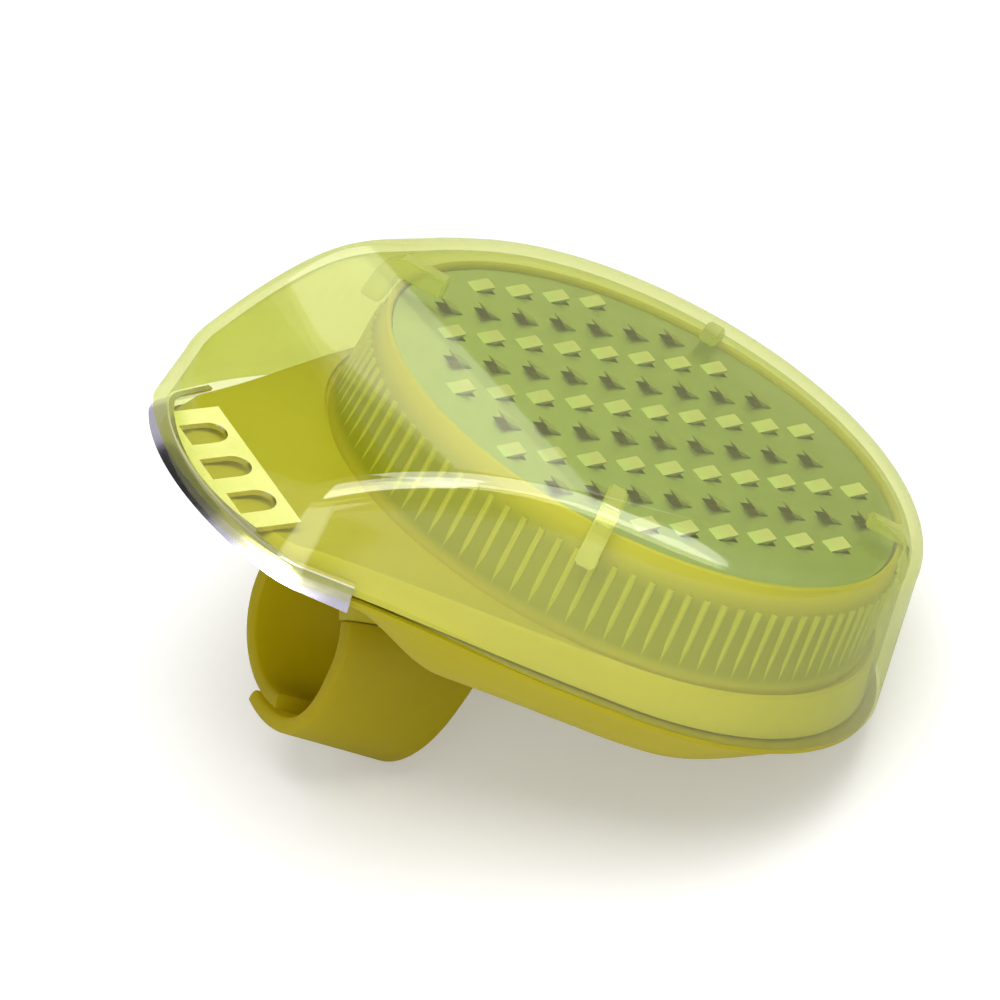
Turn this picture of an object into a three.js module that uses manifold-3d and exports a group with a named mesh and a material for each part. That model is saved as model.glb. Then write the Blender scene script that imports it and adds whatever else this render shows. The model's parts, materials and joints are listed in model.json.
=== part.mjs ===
// Palm zester with a finger ring, a round grating plate, a slotted nose blade and a clear lift-off cover.
// Units are millimetres. The parts are drawn with the grating plate level at z = 0, the nose towards -X and
// the near side towards -Y. The whole is then pitched nose up until the finger ring and the tail rim touch
// the table, and set down with the origin under the middle of its box.
import * as THREE from 'three';
import { mergeGeometries, mergeVertices } from 'three/addons/utils/BufferGeometryUtils.js';
import Module from 'manifold-3d';

const wasm = await Module();
wasm.setup();

// Clearances
const seatGap = 0.3;

// Plan outline of the rim: a round tail, straight flanks and a blunt nose
const rimMargin = 6.3;
const noseExtra = 21.1;
const noseHalfWidth = 20.5;
const noseCornerRadius = 9;
const noseArcRadius = 34;
const spread = 1.03;

// Heights above the plate plane. The rim and the top of the cover fall a little from the nose to the tail.
const rimLevel = -18;
const rimTilt = 0.04;
const coverTop = 4.9;
const topTilt = 0.02;
const topFallStart = -25;
const topFall = 16.6;
const topFallPower = 2.3;

// Cover
const coverWall = 1.6;
const coverDraftInset = 3.2;
const coverDraftShare = 0.76;
const coverShoulderInset = 8;
const coverNoseTightness = 0.4;
const coverNoseRise = 1.5;
const noseBlendStart = 100;
const noseBlendShare = 0.6;
const coverEmbed = 0.6;
const gripRibWidth = 2.4;
const gripRibLap = 5.6;
const gripRibFoot = -3.2;
const gripRibNoseAngle = 132;
const gripRibTailAngle = 42;

// Grating plate and its teeth
const plateRadius = 34;
const plateThickness = 0.6;
const toothPitch = 6.06;
const toothRowPitch = 6.73;
const toothRowStart = 2.3;
const toothLength = 2.9;
const toothWidth = 2.6;
const toothRise = 1;
const toothSideGap = 0.15;
const toothMargin = 4;
const toothRoot = 0.3;
const toothTipShare = 0.75;
const toothUndercut = 0.6;

// Pod that carries the plate
const podLipRise = 0.7;
const podLipWidth = 0.8;
const podLipRound = 1.5;
const podWall = 2;
const podDraft = 0.13;
const podFloorLevel = -13;
const podFootRound = 0.6;
const podLipChamfer = 0.2;
const flangeClearance = 0.4;
const flangeDraft = 1.4;
const plateLedge = 1.6;
const plateLedgeDepth = 1.8;
const plateLedgeHaunch = 1.5;
const podRibCount = 94;
const podRibWidth = 0.9;
const podRibDepth = 0.5;
const podRibHeight = 9;
const podRibStart = 2.8;
const podRibFade = 0.05;
const podRibEmbed = 0.4;

// Lower shell with the hump that the ring hangs from
const shellWall = 1.8;
const humpDepth = 6.4;
const shellEdgeDepth = 1.6;
const shellEdgeHeight = 0.64;
const shellLeastDrop = 0.16;
const humpNoseMargin = 15.5;
const humpNoseTop = -34;
const humpTailTop = -9;
const humpTailFoot = 16;
const humpFlank = 6;
const humpNoseFlank = 0.4;
const noseEaseStart = 0.2;

// Nose blade
const bladeThickness = 0.7;
const bladeDepth = 10.2;
const bladeHalfWidth = 12;
const bladeSlope = 14;
const bladeLipDrop = 0.3;
const bladeLipFall = 0.05;
const bladeLipInset = 0.2;
const slotCount = 3;
const slotPitch = 7;
const slotLength = 5.6;
const slotWidth = 4.1;
const slotTailMargin = 1.1;

// Finger ring
const ringInnerRadius = 9.3;
const ringThickness = 2;
const ringNoseEdge = -37;
const ringTailEdge = -13.5;
const ringTaper = 5.2;
const ringDroop = 2.4;
const ringPadThickness = 1.2;
const ringRootAngle = 36;
const nearArmEndAngle = -98;
const farArmEndAngle = -108;
const ringLap = 0.5;
const lapStart = 0.25;
const lapEnd = 0.75;

const degrees = Math.PI / 180;
const podTopRadius = plateRadius + seatGap + podLipWidth;
const rimRadius = podTopRadius + rimMargin;
const noseReach = rimRadius + noseExtra;
const bladeTail = bladeDepth - noseReach;
const humpNoseFoot = humpNoseMargin - noseReach;
const gripRibReach = podTopRadius - gripRibLap;
const podWallRadius = (z) => podTopRadius - podDraft * z;
const rimAt = (x) => rimLevel - rimTilt * x;

// Turns a list of triangles into a closed solid for joining and cutting
function toSolid(geometry) {
  const bare = geometry.clone();
  bare.deleteAttribute('normal');
  bare.deleteAttribute('uv');
  const merged = mergeVertices(bare, 1e-4);
  const vertProperties = new Float32Array(merged.attributes.position.array);
  const triVerts = new Uint32Array(merged.index.array);
  return new wasm.Manifold(new wasm.Mesh({ numProp: 3, vertProperties, triVerts }));
}

function toGeometry(solid) {
  const mesh = solid.getMesh();
  const geometry = new THREE.BufferGeometry();
  geometry.setAttribute('position', new THREE.BufferAttribute(new Float32Array(mesh.vertProperties), 3));
  geometry.setIndex(new THREE.BufferAttribute(new Uint32Array(mesh.triVerts), 1));
  geometry.computeVertexNormals();
  return geometry;
}

// Stations round the rim from the tail over the far side to the nose, mirrored back along the near side.
// Each has a point on the outline, its outward direction and an ease from 0 on the tail to 1 at the nose.
function rimStations() {
  const tailSteps = 16;
  const flankSteps = 6;
  const noseFrom = flankSteps - 1;
  const cornerSteps = 4;
  const noseSteps = 4;
  const cornerY = noseHalfWidth - noseCornerRadius;
  const noseX = noseArcRadius - noseReach;
  const cornerX = noseX - Math.sqrt((noseArcRadius - noseCornerRadius) ** 2 - cornerY ** 2);
  const cornerDistance = Math.hypot(cornerX, cornerY);
  const tangent = Math.atan2(cornerY, cornerX) - Math.acos((rimRadius - noseCornerRadius) / cornerDistance);
  const cornerEnd = Math.atan2(cornerY, cornerX - noseX);
  const half = [];
  const onArc = (cx, cy, radius, turn, ease) => {
    const out = new THREE.Vector2(Math.cos(turn), Math.sin(turn));
    half.push({ point: new THREE.Vector2(cx, cy).addScaledVector(out, radius), out, ease });
  };
  for (let i = 0; i <= tailSteps; i += 1) onArc(0, 0, rimRadius, (tangent * i) / tailSteps, 0);
  const flankStart = half.at(-1).point;
  const flankOut = half.at(-1).out;
  const flankEnd = new THREE.Vector2(cornerX, cornerY).addScaledVector(flankOut, noseCornerRadius);
  for (let i = 1; i <= flankSteps; i += 1) {
    const point = flankStart.clone().lerp(flankEnd, i / flankSteps);
    const ease = THREE.MathUtils.smoothstep(i / noseFrom, noseEaseStart, 1);
    half.push({ point, out: flankOut, ease });
  }
  for (let i = 1; i <= cornerSteps; i += 1) {
    onArc(cornerX, cornerY, noseCornerRadius, THREE.MathUtils.lerp(tangent, cornerEnd, i / cornerSteps), 1);
  }
  for (let i = 1; i <= noseSteps; i += 1) {
    onArc(noseX, 0, noseArcRadius, THREE.MathUtils.lerp(cornerEnd, Math.PI, i / noseSteps), 1);
  }
  const mirrored = half.slice(1, -1).reverse().map(({ point, out, ease }) => ({
    point: new THREE.Vector2(point.x, -point.y), out: new THREE.Vector2(out.x, -out.y), ease,
  }));
  return [...half, ...mirrored].map((station) => ({
    ...station, turn: Math.atan2(station.point.y, station.point.x),
  }));
}

const stations = rimStations();

// A ring of points: the rim drawn in by an inset, or a circle, at a height that may follow x
function rimRing(inset, level) {
  return stations.map((station) => {
    const depth = typeof inset === 'function' ? inset(station) : inset;
    const flat = station.point.clone().addScaledVector(station.out, -depth);
    const z = typeof level === 'function' ? level(flat.x, station) : level;
    return new THREE.Vector3(flat.x, flat.y * spread, z);
  });
}

function circleRing(radius, level) {
  return stations.map((station) => {
    const reach = typeof radius === 'function' ? radius(station) : radius;
    const x = reach * Math.cos(station.turn);
    const z = typeof level === 'function' ? level(x, station) : level;
    return new THREE.Vector3(x, reach * Math.sin(station.turn) * spread, z);
  });
}

// Skins a run of rings. An open run is capped by strips across the mirror plane, a looped one joins itself.
function loft(rings, looped = false) {
  const count = rings[0].length;
  const position = rings.flat().flatMap((p) => [p.x, p.y, p.z]);
  const index = [];
  const at = (ring, station) => ring * count + (station + count) % count;
  const bands = looped ? rings.length : rings.length - 1;
  for (let i = 0; i < bands; i += 1) {
    const next = (i + 1) % rings.length;
    for (let j = 0; j < count; j += 1) {
      index.push(at(i, j), at(next, j), at(next, j + 1), at(i, j), at(next, j + 1), at(i, j + 1));
    }
  }
  if (!looped) {
    const last = rings.length - 1;
    for (let j = 0; j < count / 2; j += 1) {
      const strip = [[j, j + 1, -j - 1], [j, -j - 1, -j]];
      strip.filter(([a, b, c]) => new Set([a, b, c].map((k) => (k + count) % count)).size === 3)
        .forEach(([a, b, c]) => {
          index.push(at(0, a), at(0, b), at(0, c));
          index.push(at(last, a), at(last, c), at(last, b));
        });
    }
  }
  const geometry = new THREE.BufferGeometry();
  geometry.setAttribute('position', new THREE.Float32BufferAttribute(position, 3));
  geometry.setIndex(index);
  return faceOutwards(geometry);
}

// Turns every triangle round if the skin encloses a negative volume
function faceOutwards(geometry) {
  const position = geometry.attributes.position;
  const index = geometry.index.array;
  const [a, b, c] = [new THREE.Vector3(), new THREE.Vector3(), new THREE.Vector3()];
  let volume = 0;
  for (let i = 0; i < index.length; i += 3) {
    a.fromBufferAttribute(position, index[i]);
    b.fromBufferAttribute(position, index[i + 1]);
    c.fromBufferAttribute(position, index[i + 2]);
    volume += a.dot(b.cross(c));
  }
  if (volume < 0) {
    for (let i = 0; i < index.length; i += 3) [index[i + 1], index[i + 2]] = [index[i + 2], index[i + 1]];
  }
  geometry.computeVertexNormals();
  return geometry;
}

// How far a station lies into the nose, from 0 on the round pod to 1 at the nose
function noseShare(station) {
  const start = noseBlendStart * degrees;
  const share = (Math.abs(station.turn) - start) / (Math.PI - start);
  return THREE.MathUtils.smoothstep(share, 0, noseBlendShare);
}

// Cover: drafted walls, a round shoulder and a level top that falls away to the nose. Its skirt is cut back
// at the nose so that the lip of the blade shows.
const coverSkirt = (x, { ease }) => rimAt(x) + coverNoseRise * ease;

function topAt(x) {
  const run = Math.max(0, topFallStart - x) / (noseReach + topFallStart);
  return coverTop - topTilt * x - topFall * run ** topFallPower;
}

const shoulderProfile = Array.from({ length: 7 }, (_, i) => {
  const turn = (i / 6) * Math.PI / 2;
  const inset = coverDraftInset + coverShoulderInset * (1 - Math.cos(turn));
  return { turn, inset, share: coverDraftShare + (1 - coverDraftShare) * Math.sin(turn) };
});

function coverSkin(wall) {
  const tight = (station) => THREE.MathUtils.lerp(1, coverNoseTightness, noseShare(station));
  const rings = [rimRing(wall, coverSkirt)];
  for (const { turn, inset, share } of shoulderProfile) {
    const level = (x) => THREE.MathUtils.lerp(rimAt(x), topAt(x), share) - wall * Math.sin(turn);
    rings.push(rimRing((station) => wall * Math.cos(turn) + inset * tight(station), level));
  }
  return rings;
}

// Reach of the rim from the plate's centre in a direction, before it is spread sideways
function rimReach(angle) {
  const after = stations.findIndex(({ turn }) => turn >= Math.abs(angle));
  const [a, b] = [stations[after - 1], stations[after]];
  return a.point.clone().lerp(b.point, (Math.abs(angle) - a.turn) / (b.turn - a.turn)).length();
}

// Hold-down rib in the shoulder: one leg over the pod's lip and one down its wall
function coverGripRib(angle) {
  const rim = rimReach(angle);
  const x = rim * Math.cos(angle);
  const height = topAt(x) - rimAt(x);
  const face = (z) => podWallRadius(z) + podRibDepth + seatGap;
  const back = (z) => {
    const share = (z - rimAt(x)) / height;
    const turn = Math.asin(Math.max(0, share - coverDraftShare) / (1 - coverDraftShare));
    const draft = coverDraftInset * Math.min(1, share / coverDraftShare);
    return rim - draft - coverShoulderInset * (1 - Math.cos(turn)) - coverWall * coverEmbed;
  };
  const over = toothRise + seatGap;
  const under = topAt(x) - coverWall * coverEmbed;
  const side = new THREE.Shape();
  side.moveTo(gripRibReach, under);
  side.lineTo(gripRibReach, over);
  side.lineTo(podTopRadius + seatGap, over);
  side.lineTo(face(gripRibFoot), gripRibFoot);
  const backSteps = 6;
  for (let i = 0; i <= backSteps; i += 1) {
    const z = THREE.MathUtils.lerp(gripRibFoot, under, i / backSteps);
    side.lineTo(back(z), z);
  }
  return uprightRib(side, gripRibWidth, angle);
}

// A rib with the given side view, standing radially at an angle round the pod
function uprightRib(side, width, angle) {
  const rib = new THREE.ExtrudeGeometry(side, { depth: width, bevelEnabled: false });
  rib.rotateX(Math.PI / 2);
  rib.translate(0, width / 2, 0);
  rib.rotateZ(angle);
  return rib.scale(1, spread, 1);
}

function cover() {
  const skin = [...coverSkin(0).reverse(), ...coverSkin(coverWall)];
  let solid = toSolid(loft(skin));
  for (const angle of [gripRibNoseAngle, -gripRibNoseAngle, gripRibTailAngle, -gripRibTailAngle]) {
    solid = solid.add(toSolid(coverGripRib(angle * degrees)));
  }
  return toGeometry(solid);
}

// Grating plate: lanced tongues in rows that face the nose and the tail by turns
function toothPlaces() {
  const places = [];
  const limit = plateRadius - toothMargin;
  const rowSpan = Math.ceil((limit * spread) / toothRowPitch) + 1;
  for (let row = -rowSpan; row <= rowSpan; row += 1) {
    const y = toothRowStart + row * toothRowPitch;
    const facesNose = Math.abs(row) % 2 === 1;
    const phase = facesNose ? 0 : toothPitch / 2;
    const columnSpan = Math.ceil(limit / toothPitch) + 1;
    for (let column = -columnSpan; column <= columnSpan; column += 1) {
      const x = column * toothPitch + phase;
      if (Math.hypot(x, y / spread) < limit) places.push({ x, y, facing: facesNose ? -1 : 1 });
    }
  }
  return places;
}

function toothTongue({ x, y, facing }) {
  const half = toothLength / 2;
  const side = new THREE.Shape();
  side.moveTo(-half - toothRoot, -plateThickness);
  side.lineTo(-half, -plateThickness);
  side.lineTo(half * toothUndercut, toothRise - plateThickness * toothUndercut);
  side.lineTo(half * toothTipShare, toothRise);
  side.lineTo(-half - toothRoot, 0);
  const width = toothWidth - 2 * toothSideGap;
  const tongue = new THREE.ExtrudeGeometry(side, { depth: width, bevelEnabled: false });
  tongue.rotateX(Math.PI / 2);
  tongue.translate(0, width / 2, 0);
  if (facing < 0) tongue.rotateZ(Math.PI);
  tongue.translate(x, y, 0);
  return tongue;
}

function grater() {
  const outline = new THREE.Shape();
  outline.absellipse(0, 0, plateRadius, plateRadius * spread, 0, Math.PI * 2);
  const sheet = new THREE.ExtrudeGeometry(outline, {
    depth: plateThickness, bevelEnabled: false, curveSegments: 36,
  });
  sheet.translate(0, 0, -plateThickness);
  const places = toothPlaces();
  const openings = mergeGeometries(places.map(({ x, y }) => {
    const opening = new THREE.BoxGeometry(toothLength, toothWidth, plateThickness * 4);
    return opening.translate(x, y, 0);
  }));
  const tongues = mergeGeometries(places.map(toothTongue));
  return toGeometry(toSolid(sheet).subtract(toSolid(openings)).add(toSolid(tongues)));
}

// Pod: a lip over the plate edge, a ribbed wall and the flange that runs forward as the nose deck
const flangeInset = coverWall + flangeClearance;
const deckTop = (x) => podFloorLevel - Math.max(0, bladeTail - x) * Math.tan(bladeSlope * degrees);
const bladeBedInset = ({ ease }) => flangeInset + ease * (bladeThickness + seatGap);

function podRibs() {
  const ribs = [];
  const top = -podRibStart;
  const bottom = top - podRibHeight;
  const side = new THREE.Shape();
  side.moveTo(podWallRadius(top) - podRibEmbed, top);
  side.lineTo(podWallRadius(top) + podRibDepth, top - podRibDepth);
  side.lineTo(podWallRadius(bottom) + podRibFade, bottom);
  side.lineTo(podWallRadius(bottom) - podRibEmbed, bottom);
  for (let i = 0; i < podRibCount; i += 1) {
    ribs.push(uprightRib(side, podRibWidth, (i / podRibCount) * 2 * Math.PI));
  }
  return mergeGeometries(ribs);
}

function pod() {
  const rebateRadius = plateRadius + seatGap;
  const ledgeTop = -plateThickness - seatGap;
  const ledgeRadius = plateRadius - plateLedge;
  const ledgeFoot = ledgeTop - plateLedgeDepth;
  const innerRadius = (z) => podWallRadius(z) - podWall;
  const lipRound = [0, 1, 2].map((i) => {
    const turn = (i / 2) * Math.PI / 2;
    const from = podTopRadius - podLipWidth / 2;
    const radius = THREE.MathUtils.lerp(from, podWallRadius(-podLipRound), Math.sin(turn));
    return circleRing(radius, THREE.MathUtils.lerp(-podLipRound, podLipRise, Math.cos(turn)));
  });
  const rings = [
    circleRing(rebateRadius, ledgeTop),
    circleRing(rebateRadius, podLipRise - podLipChamfer),
    circleRing(rebateRadius + podLipChamfer, podLipRise),
    ...lipRound,
    circleRing(podWallRadius(podFloorLevel + podFootRound), podFloorLevel + podFootRound),
    circleRing(podWallRadius(podFloorLevel) + podFootRound, deckTop),
    rimRing((station) => bladeBedInset(station) + flangeDraft, deckTop),
    rimRing(bladeBedInset, rimAt),
    circleRing(innerRadius(rimLevel), rimAt),
    circleRing(innerRadius(ledgeFoot - plateLedgeHaunch), ledgeFoot - plateLedgeHaunch),
    circleRing(ledgeRadius, ledgeFoot),
    circleRing(ledgeRadius, ledgeTop),
  ];
  return toGeometry(toSolid(loft(rings, true)).add(toSolid(podRibs())));
}

// Lower shell: a shallow tray whose floor drops to a hump over the finger ring
function humpAt(x) {
  const rise = THREE.MathUtils.clamp((x - humpNoseFoot) / (humpNoseTop - humpNoseFoot), 0, 1);
  const fall = THREE.MathUtils.clamp((humpTailFoot - x) / (humpTailFoot - humpTailTop), 0, 1);
  return THREE.MathUtils.lerp(shellEdgeDepth, humpDepth, Math.min(rise, fall));
}

const shellTop = (x) => rimAt(x) - seatGap;
const shellInset = (extra) => ({ ease }) => {
  const noseInset = extra * humpNoseFlank + flangeInset + seatGap;
  return THREE.MathUtils.lerp(extra + seatGap, noseInset, ease);
};

function shell() {
  const floor = (share, up) => (x) => shellTop(x) - Math.max(humpAt(x) * share - up, shellLeastDrop);
  const edgeFloor = (x) => shellTop(x) - shellEdgeHeight;
  const flankSteps = 3;
  const flank = Array.from({ length: flankSteps }, (_, i) => {
    const across = 1 - i / flankSteps;
    return rimRing(shellInset(humpFlank * across), floor(1 - (1 - across) ** 2, 0));
  });
  const rings = [
    ...flank,
    rimRing(shellInset(0), edgeFloor),
    rimRing(shellInset(0), shellTop),
    rimRing(shellInset(humpFlank / flankSteps), shellTop),
    rimRing(shellInset(humpFlank), floor(1, shellWall)),
  ];
  return loft(rings);
}

// Nose blade: a slotted top plate on the deck and a lip round the nose that flares out below the skirt
const bladeTop = (x) => deckTop(x) + seatGap + bladeThickness;

// Section of the lip at a station: down its outer face and back up its inner one
function lipSection(station) {
  const at = (inset, level) => {
    const flat = station.point.clone().addScaledVector(station.out, -inset);
    return new THREE.Vector3(flat.x, flat.y * spread, level(flat.x, flat.x + noseReach));
  };
  const top = (x, behindNose) => bladeTop(-noseReach + flangeInset + bladeThickness) - rimTilt * behindNose;
  const bend = (x) => coverSkirt(x, station) - seatGap;
  const edge = (x, behindNose) => rimAt(x) - bladeLipDrop - bladeLipFall * behindNose;
  const outer = [at(flangeInset, top), at(flangeInset, bend), at(bladeLipInset, edge)];
  const inner = [
    at(bladeLipInset + bladeThickness, edge), at(flangeInset + bladeThickness, bend),
    at(flangeInset + bladeThickness, top),
  ];
  return [...outer, ...inner];
}

function blade() {
  const noseRun = stations.filter(({ ease }) => ease === 1);
  const edge = (inset) => noseRun.map(({ point, out }) => {
    const flat = point.clone().addScaledVector(out, -inset);
    return new THREE.Vector2(flat.x, flat.y * spread);
  });
  const lip = loft(noseRun.map(lipSection));
  const plateRun = edge(flangeInset + bladeThickness / 2).filter((p) => p.x < bladeTail);
  const halfTail = Math.abs(plateRun[0].y);
  const tailRun = [-halfTail, halfTail].map((y) => new THREE.Vector2(bladeTail, y));
  const sheet = new THREE.Shape([...plateRun, ...tailRun]);
  const plate = new THREE.ExtrudeGeometry(sheet, { depth: bladeThickness, bevelEnabled: false });
  const position = plate.attributes.position;
  for (let i = 0; i < position.count; i += 1) {
    const x = position.getX(i);
    position.setZ(i, position.getZ(i) + bladeTop(x) - bladeThickness);
  }
  const span = new THREE.BoxGeometry(noseReach * 2, bladeHalfWidth * 2, noseReach * 2);
  const slots = mergeGeometries(Array.from({ length: slotCount }, (_, i) => bladeSlot(i)));
  return toGeometry(toSolid(plate).intersect(toSolid(span)).add(toSolid(lip)).subtract(toSolid(slots)));
}

// One slot of the blade, round at its tail end, as a cutter through the top plate
function bladeSlot(i) {
  const tail = bladeTail - slotTailMargin - slotWidth / 2;
  const nose = bladeTail - slotTailMargin - slotLength;
  const y = (i - (slotCount - 1) / 2) * slotPitch;
  const slot = new THREE.Shape();
  slot.moveTo(nose, y - slotWidth / 2);
  slot.lineTo(tail, y - slotWidth / 2);
  slot.absarc(tail, y, slotWidth / 2, -Math.PI / 2, Math.PI / 2, false);
  slot.lineTo(nose, y + slotWidth / 2);
  const depth = podFloorLevel - rimLevel;
  const cutter = new THREE.ExtrudeGeometry(slot, { depth, bevelEnabled: false, curveSegments: 8 });
  return cutter.translate(0, 0, bladeTop(-noseReach));
}

// Finger ring: a pad under the hump and two sprung arms that lap at the bottom
const humpFloor = shellTop(ringTailEdge) - humpDepth;
const ringCentre = humpFloor - seatGap - ringPadThickness - ringInnerRadius;
const ringMean = ringInnerRadius + ringThickness / 2;
const ringWidth = ringTailEdge - ringNoseEdge;
const nearLap = ringThickness + ringLap;

// Extrudes a section across the ring, along the slope of the rim. Towards the bottom of the ring the tail
// edge draws in and droops.
function bandAcross(shape) {
  const band = new THREE.ExtrudeGeometry(shape, { depth: ringWidth, bevelEnabled: false, curveSegments: 10 });
  band.rotateX(Math.PI / 2);
  band.rotateZ(Math.PI / 2);
  band.translate(ringNoseEdge, 0, 0);
  const position = band.attributes.position;
  const root = ringCentre + ringMean;
  for (let i = 0; i < position.count; i += 1) {
    const edge = (position.getX(i) - ringNoseEdge) / ringWidth;
    const down = Math.max(0, root - position.getZ(i)) / (2 * ringMean);
    position.setZ(i, position.getZ(i) + rimTilt * ringWidth * (1 - edge) - ringDroop * down * edge);
    position.setX(i, position.getX(i) - ringTaper * edge * down);
  }
  return band;
}

function ringPad() {
  const root = ringRootAngle * degrees + seatGap / ringMean;
  const top = humpFloor - seatGap;
  const outerRadius = ringInnerRadius + ringThickness;
  const reach = outerRadius * Math.cos(root);
  const shoulder = ringCentre + outerRadius * Math.sin(root);
  const shape = new THREE.Shape();
  shape.moveTo(-reach, shoulder);
  shape.lineTo(-reach, top);
  shape.lineTo(reach, top);
  shape.lineTo(reach, shoulder);
  shape.absarc(0, ringCentre, ringInnerRadius, root, Math.PI - root, false);
  return bandAcross(shape);
}

function ringArm(side, endAngle, lap) {
  const start = ringRootAngle * degrees;
  const end = endAngle * degrees;
  const steps = 14;
  const outer = [];
  const inner = [];
  for (let i = 0; i <= steps; i += 1) {
    const turn = THREE.MathUtils.lerp(start, end, i / steps);
    const drift = lap * THREE.MathUtils.smoothstep(i / steps, lapStart, lapEnd);
    const mean = ringMean + drift;
    const way = new THREE.Vector2(Math.cos(turn) * side, Math.sin(turn));
    outer.push(way.clone().multiplyScalar(mean + ringThickness / 2).add(new THREE.Vector2(0, ringCentre)));
    inner.push(way.clone().multiplyScalar(mean - ringThickness / 2).add(new THREE.Vector2(0, ringCentre)));
  }
  return bandAcross(new THREE.Shape([...outer, ...inner.reverse()]));
}

// Materials
const lime = new THREE.MeshStandardMaterial({ color: 0xb9b533, roughness: 0.45, metalness: 0 });
const clearLime = new THREE.MeshStandardMaterial({
  color: 0xc9cf63, roughness: 0.15, metalness: 0, transparent: true, opacity: 0.55,
});
const steel = new THREE.MeshStandardMaterial({ color: 0xc9cbc4, roughness: 0.3, metalness: 1 });

const level = new THREE.Group();
function place(name, geometry, material) {
  const mesh = new THREE.Mesh(geometry, material.clone());
  mesh.name = name;
  level.add(mesh);
}

place('cover', cover(), clearLime);
place('grater_plate', grater(), steel);
place('pod', pod(), lime);
place('lower_shell', shell(), lime);
place('nose_blade', blade(), steel);
place('ring_pad', ringPad(), lime);
place('ring_near_arm', ringArm(-1, nearArmEndAngle, nearLap), lime);
place('ring_far_arm', ringArm(1, farArmEndAngle, 0), lime);

// Pitch at which the ring's tail edge and the tail of the rim stand on the table together
const ringBottom = ringCentre - ringMean - nearLap - ringThickness / 2 - ringDroop;
const pitch = Math.atan2(rimAt(rimRadius) - ringBottom, rimRadius - (ringTailEdge - ringTaper));
level.rotation.y = pitch;

const zester = new THREE.Group();
zester.add(level);
zester.updateMatrixWorld(true);
const box = new THREE.Box3().setFromObject(zester, true);
level.position.set(-(box.min.x + box.max.x) / 2, -(box.min.y + box.max.y) / 2, -box.min.z);

export default zester;
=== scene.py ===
import json
import math

import bmesh
import bpy
import numpy as np
from mathutils import Matrix, Vector
from mathutils.geometry import delaunay_2d_cdt


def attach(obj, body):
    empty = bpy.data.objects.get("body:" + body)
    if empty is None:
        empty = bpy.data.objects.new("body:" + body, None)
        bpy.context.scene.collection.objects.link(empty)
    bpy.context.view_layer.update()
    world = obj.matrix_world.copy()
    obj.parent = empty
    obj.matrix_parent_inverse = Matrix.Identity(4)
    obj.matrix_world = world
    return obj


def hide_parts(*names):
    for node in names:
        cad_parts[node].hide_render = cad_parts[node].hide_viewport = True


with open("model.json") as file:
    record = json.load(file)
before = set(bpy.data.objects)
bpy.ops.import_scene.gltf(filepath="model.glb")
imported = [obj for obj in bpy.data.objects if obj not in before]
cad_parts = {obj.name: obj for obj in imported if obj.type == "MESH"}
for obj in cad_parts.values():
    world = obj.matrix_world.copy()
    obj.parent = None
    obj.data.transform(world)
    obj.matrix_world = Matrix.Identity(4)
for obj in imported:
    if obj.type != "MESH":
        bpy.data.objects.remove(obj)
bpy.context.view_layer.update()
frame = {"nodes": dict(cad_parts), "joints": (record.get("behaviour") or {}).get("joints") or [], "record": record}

# In millimetres and degrees. The plate lies level at z = 0, the nose points to -X, the near side to -Y
MM_PER_M = 1000

# Rim of the body, and the gap between seated pieces
SEAT_GAP = 0.3
RIM_RADIUS = 41.4
NOSE_REACH = 62.5
NOSE_HALF_WIDTH = 20.5
NOSE_CORNER_RADIUS = 9
NOSE_ARC_RADIUS = 34
NOSE_FROM = 5 / 6  # share of the flank where the ease towards the nose ends
NOSE_EASE_START = 0.2  # share of that where it starts
SPREAD = 1.03  # widens the round forms along Y
RIM_LEVEL = -18
RIM_TILT = 0.04

# Cover
COVER_TOP = 4.9
TOP_TILT = 0.02
TOP_FALL_START = -25
TOP_FALL = 16.6
TOP_FALL_POWER = 2.3
COVER_WALL = 1.6
COVER_DRAFT_INSET = 3.2
COVER_DRAFT_SHARE = 0.76
COVER_SHOULDER_INSET = 8
COVER_NOSE_TIGHTNESS = 0.4  # share of the insets that is left round the nose
COVER_NOSE_RISE = 1.5
NOSE_BLEND_START = 100
NOSE_BLEND_SHARE = 0.6
HOLD_DOWN_WIDTH = 2.4
HOLD_DOWN_LAP = 5.6
HOLD_DOWN_FOOT = -3.2
HOLD_DOWN_ANGLES = (132, -132, 42, -42)
HOLD_DOWN_ROUND = 0.3
HOLD_DOWN_SEAT = 0.9 * COVER_WALL  # from the outside of the cover to the backs of its ribs

# Grating plate and pod
TOOTH_RISE = 1
PLATE_RADIUS = 34
PLATE_THICKNESS = 0.6
PLATE_LEDGE = 1.6
PLATE_LEDGE_DEPTH = 1.8
PLATE_LEDGE_HAUNCH = 1.5
POD_LIP_RISE = 0.7
POD_LIP_WIDTH = 0.8
POD_LIP_ROUND = 1.5
POD_LIP_CROWN = 0.3
POD_WALL = 2
POD_DRAFT = 0.13
POD_FLOOR_LEVEL = -13
POD_RIB_COUNT = 94
POD_RIB_WIDTH = 0.9
POD_RIB_DEPTH = 0.5
POD_RIB_HEIGHT = 9
POD_RIB_START = 2.8
GROOVE_SIZE = 0.7
GROOVE_LEAN = 0.1
FLANGE_CLEARANCE = 0.4
FLANGE_INSET = COVER_WALL + FLANGE_CLEARANCE
FLANGE_DRAFT = 1.4
FLANGE_BEVEL = 0.3
FLANGE_BEVEL_REACH = 0.1

# Lower shell
SHELL_WALL = 1.8
SHELL_LAND = 2
SHELL_EDGE_DEPTH = 1.6
SHELL_EDGE_HEIGHT = 0.64
SHELL_EDGE_BLEND = 0.6
SHELL_LEAST_DROP = 0.16
HUMP_DEPTH = 6.4
HUMP_NOSE_FOOT = -47
HUMP_NOSE_TOP = -34
HUMP_TAIL_TOP = -9
HUMP_TAIL_FOOT = 16
HUMP_FLANK = 6
HUMP_NOSE_FLANK = 0.4

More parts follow.
